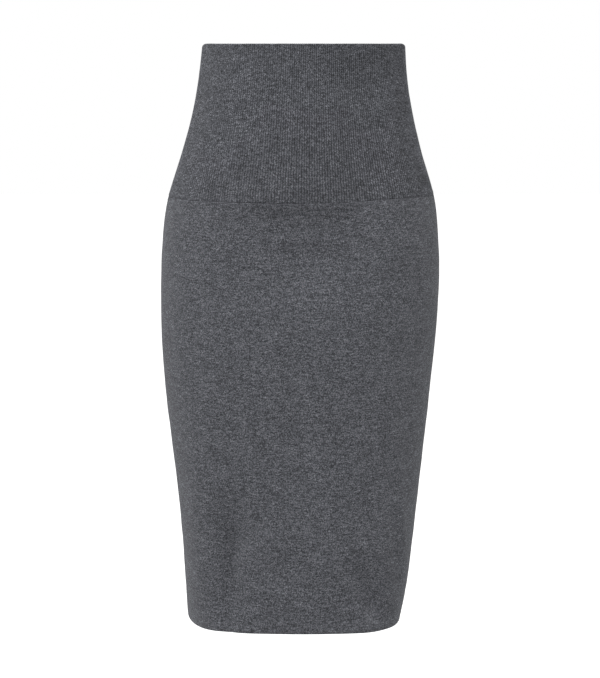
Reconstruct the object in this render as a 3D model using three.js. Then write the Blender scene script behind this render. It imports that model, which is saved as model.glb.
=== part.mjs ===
// A knitted pencil skirt with a deep ribbed waistband, in the hollow form that it takes when it is worn.
// Millimetres, +Z up. The origin is the middle of the waist edge, where the waist holds the skirt up.
// The front faces -Y, so that the viewer's left is -X.
//
// Four cut pieces are sewn together: the waistband's front and back, of two layers of rib knit folded over
// at the top, and the skirt's front and back, of one layer of plain knit with a turned-up hem.

import * as THREE from "three";

// Driving dimensions
const LENGTH = 650; // waist edge to hem
const BAND_DEPTH = 171; // waist edge to waistband seam, at the centre front
const BAND_RISE = 3; // how much higher the waistband seam lies at the right side than at the centre front
const BAND_WALL = 2.4; // two layers of rib knit
const SKIRT_WALL = 1.5; // one layer of plain knit
const HEM_WALL = 2.8; // plain knit, turned up
const HEM_TURN = 34; // height of the turned-up hem
const SEAM_GAP = 0.3; // between two pieces that are sewn together
const SEAM_ROLL = 0.7; // how far an edge rolls in where it meets a seam
const FOLD_ROLL = 0.75; // how far each face of the waistband rolls in at the folded top edge
const RIBS = 138; // ribs across one waistband piece, about 2.4 mm apart at the waist
const RIB_HEIGHT = 0.5; // rib top to valley

// How finely each piece is divided
const SECTION_STEPS = 240; // along one half of a section, to measure it by
const HALVINGS = 34; // in the search for a section's edge
const BAND_LINING_COLUMNS = 46; // RIBS times 2 is a multiple of this
const SKIRT_COLUMNS = 40;

// The worn form, by sections below the waist edge. half is half of the width, lean is how far the middle lies
// to +X, and front and back are the depths before and behind the side seams. flat says how straight the front
// and back run across, and fullLeft and fullRight how straight the sides run. Where both are 2, the section
// is an ellipse.
const SECTIONS = [
  { down: 0, half: 113.2, lean: 0.0, front: 90, back: 89, flat: 2.15, fullLeft: 2.15, fullRight: 2.15 },
  { down: 12, half: 114.3, lean: -0.3, front: 90, back: 89, flat: 2.15, fullLeft: 2.15, fullRight: 2.15 },
  { down: 45, half: 117.9, lean: -0.9, front: 93, back: 93, flat: 2.15, fullLeft: 2.15, fullRight: 2.15 },
  { down: 80, half: 124.0, lean: -1.5, front: 97, back: 100, flat: 2.2, fullLeft: 2.15, fullRight: 2.15 },
  { down: 120, half: 134.3, lean: -2.2, front: 101, back: 109, flat: 2.2, fullLeft: 2.2, fullRight: 2.2 },
  { down: 171, half: 149.6, lean: -2.8, front: 104, back: 120, flat: 2.25, fullLeft: 2.2, fullRight: 2.2 },
  { down: 210, half: 155.1, lean: -3.4, front: 106, back: 125, flat: 2.3, fullLeft: 2.2, fullRight: 2.2 },
  { down: 265, half: 157.3, lean: -4.2, front: 106, back: 125, flat: 2.4, fullLeft: 2.2, fullRight: 2.2 },
  { down: 320, half: 155.6, lean: -5.6, front: 105, back: 119, flat: 2.6, fullLeft: 2.2, fullRight: 2.25 },
  { down: 375, half: 151.5, lean: -6.8, front: 104, back: 112, flat: 2.9, fullLeft: 2.15, fullRight: 2.3 },
  { down: 430, half: 145.7, lean: -6.8, front: 103, back: 107, flat: 3.3, fullLeft: 2.1, fullRight: 2.35 },
  { down: 490, half: 138.6, lean: -6.3, front: 102, back: 103, flat: 3.8, fullLeft: 2.1, fullRight: 2.4 },
  { down: 550, half: 132.5, lean: -6.8, front: 101, back: 101, flat: 4.3, fullLeft: 2.0, fullRight: 2.6 },
  { down: 600, half: 127.6, lean: -9.0, front: 100, back: 100, flat: 4.9, fullLeft: 1.9, fullRight: 2.8 },
  { down: 650, half: 122.1, lean: -11.1, front: 101, back: 99, flat: 5.8, fullLeft: 1.8, fullRight: 3.2 },
];

// The largest soft folds, and ridges where sink is below 0. across is the place along X, sink is how deep the
// middle lies, and tilt turns the long way from upright towards the viewer's right at its foot, in degrees.
// The flank on a fold's left, or below it where it lies level, is spread times as wide as the other.
const FOLDS = {
  // Under the waistband, on the left thigh, on the right thigh, between them, and over the right hip
  front: [
    { across: -9, down: 212, halfLong: 74, halfWide: 27, tilt: 90, sink: 10.5, spread: 2.4 },
    { across: -80, down: 570, halfLong: 84, halfWide: 16, tilt: -4.5, sink: 11.5, spread: 1.5 },
    { across: 74, down: 609, halfLong: 44, halfWide: 15, tilt: 28, sink: 10.0, spread: 1.0 },
    { across: 2, down: 590, halfLong: 90, halfWide: 50, tilt: -3, sink: -7.0, spread: 1.0 },
    { across: 56, down: 320, halfLong: 105, halfWide: 42, tilt: 0, sink: -5.0, spread: 1.0 },
  ],
  // Under the seat, on the left thigh, on the right thigh, and between them
  back: [
    { across: 0, down: 345, halfLong: 95, halfWide: 34, tilt: 90, sink: 6.0, spread: 1.0 },
    { across: -62, down: 560, halfLong: 80, halfWide: 20, tilt: -9, sink: 9.0, spread: 1.0 },
    { across: 66, down: 578, halfLong: 72, halfWide: 21, tilt: 12, sink: 9.5, spread: 1.0 },
    { across: -30, down: 520, halfLong: 90, halfWide: 25, tilt: -7, sink: -3.0, spread: 1.0 },
  ],
};

// Where rows of points lie, in mm below the waist edge
const BAND_ROWS = [0, 1.2, 32, 66, 100, 135, BAND_DEPTH - 1.6, BAND_DEPTH - SEAM_GAP / 2];
const HEM_TOP = LENGTH - HEM_TURN;
const SKIRT_ROWS = [
  BAND_DEPTH + SEAM_GAP / 2, BAND_DEPTH + 2, 190, 210, 230, 255, 285, 315, 345, 375, 405, 435, 465, 495, 525,
  555, 585, HEM_TOP - 3, HEM_TOP, LENGTH - 17, LENGTH - 1, LENGTH,
];

const UP = new THREE.Vector3(0, 0, 1);

// An even S curve from 0 to 1.
function ease(t) {
  const held = THREE.MathUtils.clamp(t, 0, 1);
  return held * held * (3 - 2 * held);
}

// The form at one depth below the waist edge, on a smooth curve through the sections.
function formAt(down) {
  const last = SECTIONS.length - 1;
  const found = SECTIONS.findIndex((section) => section.down > down);
  const next = found < 1 ? last : found;
  const rows = [next - 2, next - 1, next, next + 1].map((i) => SECTIONS[THREE.MathUtils.clamp(i, 0, last)]);
  const [before, low, high, after] = rows;
  const span = high.down - low.down;
  const t = (down - low.down) / span;
  const form = {};
  for (const column of Object.keys(low)) {
    const startSlope = (span * (high[column] - before[column])) / (high.down - before.down);
    const endSlope = (span * (after[column] - low[column])) / (after.down - low.down);
    form[column] =
      (2 * t ** 3 - 3 * t ** 2 + 1) * low[column] +
      (t ** 3 - 2 * t ** 2 + t) * startSlope +
      (3 * t ** 2 - 2 * t ** 3) * high[column] +
      (t ** 3 - t ** 2) * endSlope;
  }
  return form;
}

// A point of the section at one depth, by its direction from the section's middle.
function sectionPoint(form, direction) {
  const across = Math.cos(direction);
  const along = Math.sin(direction);
  const full = across < 0 ? form.fullLeft : form.fullRight;
  const depth = along < 0 ? form.front : form.back;
  let inside = 0;
  let outside = 2 * Math.max(form.half, depth);
  for (let halving = 0; halving < HALVINGS; halving++) {
    const reach = (inside + outside) / 2;
    const x = Math.abs((reach * across) / form.half);
    const y = Math.abs((reach * along) / depth);
    if (x ** form.flat + y ** full < 1) inside = reach;
    else outside = reach;
  }
  return new THREE.Vector3(form.lean + inside * across, inside * along, 0);
}

// One half of the section, from side seam to side seam, as points with the length of cloth up to each.
const measured = new Map();
function halfSection(side, down) {
  const key = side + down;
  if (!measured.has(key)) {
    const form = formAt(down);
    const start = side === "front" ? Math.PI : 0;
    const points = [];
    const lengths = [0];
    for (let i = 0; i <= SECTION_STEPS; i++) {
      points.push(sectionPoint(form, start + (Math.PI * i) / SECTION_STEPS));
      if (i > 0) lengths.push(lengths[i - 1] + points[i].distanceTo(points[i - 1]));
    }
    measured.set(key, { points, lengths });
  }
  return measured.get(key);
}

// The point at a share of the cloth's width, from 0 at one side seam to 1 at the other.
function formPoint(side, share, down) {
  const { points, lengths } = halfSection(side, down);
  const wanted = share * lengths[SECTION_STEPS];
  let i = 1;
  while (i < SECTION_STEPS && lengths[i] < wanted) i++;
  const t = (wanted - lengths[i - 1]) / (lengths[i] - lengths[i - 1]);
  const point = points[i - 1].clone().lerp(points[i], t);
  point.z = -down;
  return point;
}

// How deep the folds of one side sink at a point.
function foldSink(side, point) {
  let sink = 0;
  for (const fold of FOLDS[side]) {
    const tilt = THREE.MathUtils.degToRad(fold.tilt);
    const x = point.x - fold.across;
    const z = -point.z - fold.down;
    const long = x * Math.sin(tilt) + z * Math.cos(tilt);
    const wide = x * Math.cos(tilt) - z * Math.sin(tilt);
    const halfWide = wide < 0 ? fold.halfWide * fold.spread : fold.halfWide;
    sink += fold.sink * Math.exp(-((long / fold.halfLong) ** 2) - (wide / halfWide) ** 2);
  }
  return sink;
}

// A point of the cloth, out mm outside the worn form.
function clothPoint(side, share, down, out) {
  const point = formPoint(side, share, down);
  const step = 1e-3;
  const onward = formPoint(side, share < 0.5 ? share + step : share - step, down).sub(point);
  if (share >= 0.5) onward.negate();
  const fall = formPoint(side, share, down < BAND_DEPTH ? down + 1 : down - 1).sub(point);
  if (down >= BAND_DEPTH) fall.negate();
  const normal = fall.cross(onward).normalize();
  return point.addScaledVector(normal, out - foldSink(side, point));
}

// How much the waistband seam rises at a share of a piece's width.
function seamRise(side, share) {
  const fromCentreFront = side === "front" ? share - 0.5 : 0.9 - share;
  return BAND_RISE * ease(fromCentreFront / 0.3);
}

// A row of points across a piece. The seam's rise fades out away from the seam.
function clothRow(side, columns, down, outAt) {
  const { lengths } = halfSection(side, down);
  const trim = SEAM_GAP / 2 / lengths[SECTION_STEPS];
  const near = Math.max(0, 1 - Math.abs(down - BAND_DEPTH) / BAND_DEPTH);
  const row = [];
  for (let column = 0; column <= columns; column++) {
    const share = trim + (1 - 2 * trim) * (column / columns);
    row.push(clothPoint(side, share, down - near * seamRise(side, share), outAt(column)));
  }
  return row;
}

// A closed wall between two grids of points with the same rows. The outer grid's columns are a multiple of
// the inner grid's. Columns run anticlockwise seen from above, and rows run down.
function wallGeometry(outer, inner) {
  const wide = outer[0].length;
  const narrow = inner[0].length;
  const fan = (wide - 1) / (narrow - 1);
  const lastRow = outer.length - 1;
  const outerAt = (row, column) => row * wide + column;
  const innerAt = (row, column) => outer.length * wide + row * narrow + column;
  const faces = [];
  const quad = (a, b, c, d) => faces.push(a, b, c, a, c, d);

  for (let row = 0; row < lastRow; row++) {
    for (let column = 0; column < wide - 1; column++) {
      const [top, foot] = [outerAt(row, column), outerAt(row + 1, column)];
      quad(top, foot, foot + 1, top + 1);
    }
    for (let column = 0; column < narrow - 1; column++) {
      const [top, foot] = [innerAt(row, column), innerAt(row + 1, column)];
      quad(top, top + 1, foot + 1, foot);
    }
    quad(outerAt(row, 0), innerAt(row, 0), innerAt(row + 1, 0), outerAt(row + 1, 0));
    const [outerEnd, innerEnd] = [outerAt(row, wide - 1), innerAt(row, narrow - 1)];
    quad(outerEnd, outerEnd + wide, innerEnd + narrow, innerEnd);
  }
  for (let column = 0; column < narrow - 1; column++) {
    for (let k = 0; k < fan; k++) {
      const from = column * fan + k;
      const hub = k < fan / 2 ? column : column + 1;
      faces.push(innerAt(0, hub), outerAt(0, from), outerAt(0, from + 1));
      faces.push(innerAt(lastRow, hub), outerAt(lastRow, from + 1), outerAt(lastRow, from));
    }
    const middle = column * fan + Math.ceil(fan / 2);
    faces.push(innerAt(0, column), outerAt(0, middle), innerAt(0, column + 1));
    faces.push(innerAt(lastRow, column), innerAt(lastRow, column + 1), outerAt(lastRow, middle));
  }

  const geometry = new THREE.BufferGeometry().setFromPoints([...outer.flat(), ...inner.flat()]);
  geometry.setIndex(faces);
  geometry.computeVertexNormals();
  return geometry;
}

// One waistband piece: ribs outside, plain inside, folded over at the waist edge.
function waistbandPiece(side) {
  const lastRow = BAND_ROWS.length - 1;
  const rollAt = (row) => (row === 0 ? FOLD_ROLL : row === lastRow ? SEAM_ROLL : 0);
  const outer = BAND_ROWS.map((down, row) =>
    clothRow(side, RIBS * 2, down, (column) => (column % 2 ? 0 : -RIB_HEIGHT) - rollAt(row)),
  );
  const inner = BAND_ROWS.map((down, row) =>
    clothRow(side, BAND_LINING_COLUMNS, down, () => (row === 0 ? FOLD_ROLL : 0) - BAND_WALL),
  );
  return wallGeometry(outer, inner);
}

// One skirt piece: plain, with an edge that rolls into the waistband seam and a double hem.
function skirtPiece(side) {
  const lastRow = SKIRT_ROWS.length - 1;
  const rollAt = (row) => (row === 0 || row === lastRow ? SEAM_ROLL : 0);
  const outer = SKIRT_ROWS.map((down, row) => clothRow(side, SKIRT_COLUMNS, down, () => -rollAt(row)));
  const inner = SKIRT_ROWS.map((down, row) => {
    const wall = down < HEM_TOP ? SKIRT_WALL : HEM_WALL;
    const hemRoll = row === lastRow ? SEAM_ROLL : 0;
    return clothRow(side, SKIRT_COLUMNS, down, () => hemRoll - wall);
  });
  return wallGeometry(outer, inner);
}

// A named solid with its own finish.
function piece(name, geometry, finish) {
  const mesh = new THREE.Mesh(geometry, new THREE.MeshStandardMaterial(finish));
  mesh.name = name;
  return mesh;
}

const RIB_KNIT = { name: "rib_knit", color: 0x525357, roughness: 0.95, metalness: 0 };
const PLAIN_KNIT = { name: "jersey_knit", color: 0x55575b, roughness: 0.92, metalness: 0 };

const skirt = new THREE.Group();
for (const side of ["front", "back"]) {
  skirt.add(piece(`waistband_${side}`, waistbandPiece(side), RIB_KNIT));
  skirt.add(piece(`skirt_${side}`, skirtPiece(side), PLAIN_KNIT));
}

export default skirt;
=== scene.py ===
"""A knitted pencil skirt with a deep ribbed waistband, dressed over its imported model."""

import logging
import math
from dataclasses import astuple, dataclass, replace
from enum import Enum

import bpy
import numpy as np
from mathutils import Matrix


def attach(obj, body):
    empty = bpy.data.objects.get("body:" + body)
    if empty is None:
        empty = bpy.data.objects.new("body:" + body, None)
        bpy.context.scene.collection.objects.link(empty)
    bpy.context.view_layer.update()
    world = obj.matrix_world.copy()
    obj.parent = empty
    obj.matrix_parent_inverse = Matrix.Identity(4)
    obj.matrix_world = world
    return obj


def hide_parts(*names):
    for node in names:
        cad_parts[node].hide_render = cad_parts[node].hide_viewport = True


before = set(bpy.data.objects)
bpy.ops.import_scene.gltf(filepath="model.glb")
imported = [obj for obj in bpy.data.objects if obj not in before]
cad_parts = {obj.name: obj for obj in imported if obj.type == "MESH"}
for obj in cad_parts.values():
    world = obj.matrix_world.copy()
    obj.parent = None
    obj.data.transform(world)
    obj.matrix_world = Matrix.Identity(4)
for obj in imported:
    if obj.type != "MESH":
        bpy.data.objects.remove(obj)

LOG = logging.getLogger("pencil_skirt")
MM = 0.001
CLOTH_MAP = "cloth_mm"

Array = np.ndarray
Colour = tuple[float, float, float, float]


# Shared sizes of the cut, in millimetres

LENGTH = 650.0  # waist edge to hem
BAND_DEPTH = 171.0  # waist edge to waistband seam, at the centre front
BAND_RISE = 3.0  # how much higher the waistband seam lies at the right side
BAND_SAG = 1.4  # how much lower it lies in front of the belly
BAND_WALL = 2.4  # two layers of rib knit
SKIRT_WALL = 1.5  # one layer of plain knit
HEM_WALL = 2.8  # plain knit, turned up
HEM_TURN = 34.0  # height of the turned-up hem
SEAM_GAP = 0.3  # between two pieces that are sewn together
RIBS = 138  # ribs across one waistband piece
BACK_CUT = 1500.0  # where on the cloth the back is cut, so that its stitches differ from the front's
BACK_UNEVEN = 900.0  # the same for the soft unevenness of the skirt


class Side(Enum):
    """The two halves of the skirt."""

    FRONT = "front"
    BACK = "back"


@dataclass(frozen=True)
class Section:
    """One level of the worn form, in millimetres, with how straight its front, back and sides run."""

    down: float
    half: float
    lean: float
    front: float
    back: float
    flat: float
    full_left: float
    full_right: float


SECTIONS = (
    Section(0, 113.2, 0.0, 90, 89, 2.15, 2.15, 2.15),
    Section(12, 114.3, -0.3, 90, 89, 2.15, 2.15, 2.15),
    Section(45, 117.9, -0.9, 93, 93, 2.15, 2.15, 2.15),
    Section(80, 124.0, -1.5, 97, 100, 2.2, 2.15, 2.15),
    Section(120, 134.3, -2.2, 101, 109, 2.2, 2.2, 2.2),
    Section(171, 149.6, -2.8, 104, 120, 2.25, 2.2, 2.2),
    Section(210, 155.1, -3.4, 106, 125, 2.3, 2.2, 2.2),
    Section(265, 157.3, -4.2, 106, 125, 2.4, 2.2, 2.2),
    Section(320, 155.6, -5.6, 105, 119, 2.6, 2.2, 2.25),
    Section(375, 151.5, -6.8, 104, 112, 2.9, 2.15, 2.3),
    Section(430, 145.7, -6.8, 103, 107, 3.3, 2.1, 2.35),
    Section(490, 138.6, -6.3, 102, 103, 3.8, 2.1, 2.4),
    Section(550, 132.5, -6.8, 101, 101, 4.3, 2.0, 2.6),
    Section(600, 127.6, -9.0, 100, 100, 4.9, 1.9, 2.8),
    Section(650, 122.1, -11.1, 101, 99, 5.8, 1.8, 3.2),
)


@dataclass(frozen=True)
class Fold:
    """A soft trough, or a ridge where sink is below 0, placed by where it lies across and down.

    half_long and half_wide are its half lengths, and tilt turns the long way from upright towards the
    viewer's right at its foot, in degrees. The flank on its left, or below it where it lies level, is spread
    times as wide as the other.
    """

    across: float
    down: float
    half_long: float
    half_wide: float
    tilt: float
    sink: float
    spread: float = 1.0


FOLDS = {
    Side.FRONT: (
        Fold(-9, 212, 74, 27, 90, 10.5, 2.4),  # under the waistband
        Fold(-80, 570, 84, 16, -4.5, 11.5, 1.5),  # left thigh
        Fold(74, 609, 44, 15, 28, 10.0, 1.0),  # right thigh
        Fold(2, 590, 90, 50, -3, -7.0, 1.0),  # fullness between them
        Fold(56, 320, 105, 42, 0, -5.0, 1.0),  # fullness over the right hip
    ),
    Side.BACK: (
        Fold(0, 345, 95, 34, 90, 6.0, 1.0),  # under the seat
        Fold(-62, 560, 80, 20, -9, 9.0, 1.0),
        Fold(66, 578, 72, 21, 12, 9.5, 1.0),
        Fold(-30, 520, 90, 25, -7, -3.0, 1.0),
    ),
}

# Smaller creases than the solids hold
CREASES = {
    Side.FRONT: (
        Fold(-83, 604, 14, 5, -50, 0.9),  # over the hem
        Fold(-82, 575, 58, 9, -4.5, 1.8),  # bottom of the left trough
        Fold(-118, 520, 90, 17, 5, -1.5),  # left edge of the thigh
        Fold(-18, 188, 84, 11, 90, 4.2, 1.6),  # close under the waistband
        Fold(4, 231, 40, 15, 90, 6.2, 2.6),  # in front of the belly
        Fold(109, 520, 95, 5, 4.5, -1.9),  # ridge along the right side
        Fold(101, 560, 70, 5, 5, 1.3),  # beside it
        Fold(46, 40, 60, 24, 90, 3.0),  # under the waist edge
        Fold(62, 90, 90, 26, 2, 4.5),  # beside the belly
    ),
    Side.BACK: (
        Fold(-66, 552, 56, 8, -9, 2.0),
        Fold(62, 566, 50, 9, 12, 2.0),
        Fold(-30, 205, 34, 9, 84, 1.4),
        Fold(52, 212, 28, 8, 97, 1.2),
        Fold(12, 372, 60, 10, 86, 1.6),
        Fold(-108, 510, 80, 7, -4, -1.2),
    ),
}


def ease(t: Array) -> Array:
    """Returns an even S curve from 0 to 1."""
    held = np.clip(t, 0.0, 1.0)
    return held * held * (3.0 - 2.0 * held)


def soft_noise(u: Array, v: Array, size: float, seed: int) -> Array:
    """Gives smooth random values.

    Args:
        u: Places across, in millimetres.
        v: Places down, in millimetres.
        size: How far apart the values are set, in millimetres.
        seed: Which set of values.

    Returns:
        Values between -1 and 1, in the shape of u and v.
    """
    count = 257
    values = np.random.default_rng(seed).uniform(-1.0, 1.0, (count, count))
    across, down = u / size + 61.7, v / size + 23.3
    column, row = np.floor(across).astype(int), np.floor(down).astype(int)
    s, t = ease(across - column), ease(down - row)
    left, right, top, foot = column % count, (column + 1) % count, row % count, (row + 1) % count
    upper = values[top, left] * (1 - s) + values[top, right] * s
    lower = values[foot, left] * (1 - s) + values[foot, right] * s
    return upper * (1 - t) + lower * t


class WornForm:
    """The outer face of the skirt in the form it has when worn, from its sections."""

    TOP, FOOT = -2, 654  # how far the table of points reaches, in mm below the waist edge
    DIRECTIONS = 480  # steps round one half of a section
    SHARES = 420  # steps of equal cloth width across one half
    HALVINGS = 30  # in the search for a section's edge

    def __init__(self, sections: tuple[Section, ...]) -> None:
        """Works out points and outward normals for every millimetre down, for the front and the back."""
        self.sections = np.array([astuple(section) for section in sections], dtype=float)
        self.downs = np.arange(self.TOP, self.FOOT + 1, dtype=float)
        self.points: dict[Side, Array] = {}
        self.normals: dict[Side, Array] = {}
        self.widths: dict[Side, Array] = {}
        for side in Side:
            self._measure(side)

    def _levels(self, down: Array) -> Array:
        """Reads the sections on a smooth curve.

        Args:
            down: Depths below the waist edge, in millimetres.

        Returns:
            The seven sizes of a section for each depth.
        """
        table, last = self.sections, len(self.sections) - 1
        high = np.clip(np.searchsorted(table[:, 0], down, side="right"), 1, last)
        low, before, after = high - 1, np.maximum(high - 2, 0), np.minimum(high + 1, last)
        span = (table[high, 0] - table[low, 0])[:, None]
        t = (down - table[low, 0])[:, None] / span
        start = span * (table[high] - table[before]) / (table[high, 0] - table[before, 0])[:, None]
        end = span * (table[after] - table[low]) / (table[after, 0] - table[low, 0])[:, None]
        curve = (2 * t**3 - 3 * t**2 + 1) * table[low] + (t**3 - 2 * t**2 + t) * start
        curve += (3 * t**2 - 2 * t**3) * table[high] + (t**3 - t**2) * end
        return curve[:, 1:]

    def _measure(self, side: Side) -> None:
        """Fills the tables of points, normals and cloth widths of one half."""
        half, lean, front, back, flat, left, right = (c[:, None] for c in self._levels(self.downs).T)
        start = math.pi if side is Side.FRONT else 0.0
        turn = start + math.pi * np.linspace(0.0, 1.0, self.DIRECTIONS + 1)[None, :]
        across, along = np.cos(turn), np.sin(turn)
        full = np.where(across < 0, left, right)
        depth = front if side is Side.FRONT else back
        inside, outside = np.zeros((len(self.downs), turn.shape[1])), 2 * np.maximum(half, depth)
        outside = np.broadcast_to(outside, inside.shape).copy()
        for _ in range(self.HALVINGS):
            reach = (inside + outside) / 2
            spread = np.abs(reach * across / half) ** flat + np.abs(reach * along / depth) ** full
            inside, outside = np.where(spread < 1, reach, inside), np.where(spread < 1, outside, reach)
        x, y = lean + inside * across, inside * along
        steps = np.hypot(np.diff(x, axis=1), np.diff(y, axis=1))
        lengths = np.concatenate([np.zeros((len(self.downs), 1)), np.cumsum(steps, axis=1)], axis=1)
        shares = np.linspace(0.0, 1.0, self.SHARES + 1)
        points = np.empty((len(self.downs), self.SHARES + 1, 3))
        for row, length in enumerate(lengths):
            points[row, :, 0] = np.interp(shares * length[-1], length, x[row])
            points[row, :, 1] = np.interp(shares * length[-1], length, y[row])
            points[row, :, 2] = -self.downs[row]
        onward, fall = np.gradient(points, axis=1), np.gradient(points, axis=0)
        normals = np.cross(fall, onward)
        self.points[side] = points
        self.normals[side] = normals / np.linalg.norm(normals, axis=2, keepdims=True)
        self.widths[side] = lengths[:, -1]

    def width(self, side: Side, down: Array) -> Array:
        """Returns the cloth width of one half at each depth, in millimetres."""
        return np.interp(down, self.downs, self.widths[side])

    def cloth(self, side: Side, share: Array, down: Array, out: Array) -> Array:
        """Gives points on or near the outer face, with the folds sunk into it.

        Args:
            side: Front or back.
            share: Shares of the cloth's width, from 0 at one side seam to 1 at the other.
            down: Depths below the waist edge, in millimetres.
            out: How far outside the face, in millimetres.

        Returns:
            Points in millimetres, with one more dimension than the inputs.
        """
        share, down, out = np.broadcast_arrays(share, down, out)
        column = np.clip(share, 0.0, 1.0) * self.SHARES
        row = np.clip(down - self.TOP, 0.0, len(self.downs) - 1.001)
        j, i = np.minimum(column.astype(int), self.SHARES - 1), row.astype(int)
        s, t = (column - j)[..., None], (row - i)[..., None]
        result = []
        for table in (self.points[side], self.normals[side]):
            upper = table[i, j] * (1 - s) + table[i, j + 1] * s
            lower = table[i + 1, j] * (1 - s) + table[i + 1, j + 1] * s
            result.append(upper * (1 - t) + lower * t)
        point, normal = result
        sink = sum(self._sunk(fold, point) for fold in FOLDS[side] + CREASES[side])
        return point + normal * (out - sink)[..., None]

    @staticmethod
    def _sunk(fold: Fold, point: Array) -> Array:
        """Returns how deep one fold is at each point."""
        tilt = math.radians(fold.tilt)
        x, z = point[..., 0] - fold.across, -point[..., 2] - fold.down
        long = x * math.sin(tilt) + z * math.cos(tilt)
        wide = x * math.cos(tilt) - z * math.sin(tilt)
        wide = np.where(wide < 0.0, wide / fold.spread, wide)
        return fold.sink * np.exp(-((long / fold.half_long) ** 2) - (wide / fold.half_wide) ** 2)


def seam_rise(side: Side, share: Array, down: Array) -> Array:
    """Gives how much higher the waistband seam lies than at the centre front, fading out away from it.

    Args:
        side: Front or back.
        share: Shares of the cloth's width.
        down: Depths below the waist edge, in millimetres.

    Returns:
        The rise in millimetres.
    """
    near = np.maximum(0.0, 1.0 - np.abs(down - BAND_DEPTH) / BAND_DEPTH)
    if side is Side.BACK:
        return near * BAND_RISE * ease((0.9 - share) / 0.3)
    return near * (BAND_RISE * ease((share - 0.5) / 0.3) - BAND_SAG * np.exp(-(((share - 0.54) / 0.2) ** 2)))


# Materials


MATH = "ShaderNodeMath"
VECTOR_MATH = "ShaderNodeVectorMath"
NOISE = "ShaderNodeTexNoise"

Node = bpy.types.Node
Tree = bpy.types.NodeTree


def linear(colour: str) -> Colour:
    """Turns an sRGB hex colour such as '#55575b' into linear red, green, blue and alpha."""
    values = (int(colour[i : i + 2], 16) / 255 for i in (1, 3, 5))
    red, green, blue = (v / 12.92 if v <= 0.04045 else ((v + 0.055) / 1.055) ** 2.4 for v in values)
    return red, green, blue, 1.0


def add_node(
    tree: Tree,
    kind: str,
    inputs: dict[str | int, object] | None = None,
    settings: dict[str, object] | None = None,
) -> Node:
    """Adds one node.

    Args:
        tree: Where it goes.
        kind: The node's type, such as ShaderNodeMath.
        inputs: For each input's name or number a value, a socket to link, or a node to link by its
            first output.
        settings: Values of the node's own properties.

    Returns:
        The new node.
    """
    node = tree.nodes.new(kind)
    for name, value in (settings or {}).items():
        setattr(node, name, value)
    for name, value in (inputs or {}).items():
        source = value.outputs[0] if isinstance(value, Node) else value
        if isinstance(source, bpy.types.NodeSocket):
            tree.links.new(source, node.inputs[name])
        else:
            node.inputs[name].default_value = source
    return node


@dataclass(frozen=True)
class MelangeYarn:
    """A spun melange yarn: charcoal, grey and near white fibres twisted together.

    The eye sees a grey that is speckled stitch by stitch, with short pale and dark streaks along the
    courses, a soft matt surface and a faint halo of loose fibre at its edges.
    """

    shade: str  # where little light fibre lies
    body: str
    light: str
    fleck: str
    halo: str  # loose fibre seen against the light
    roughness: float = 0.95
    ior: float = 1.46
    gloss: float = 0.3  # less than a smooth face has, as the fibres lie every way
    sheen: float = 0.05


@dataclass(frozen=True)
class StitchNodes:
    """The nodes that draw the stitches."""

    column: Node  # number of the stitch across
    row: Node  # number of the stitch down
    height: Node  # from 0 between the stitches to 1 on top of them
    rib: Node  # from 0 between two wales to 1 in the middle of one


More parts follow.
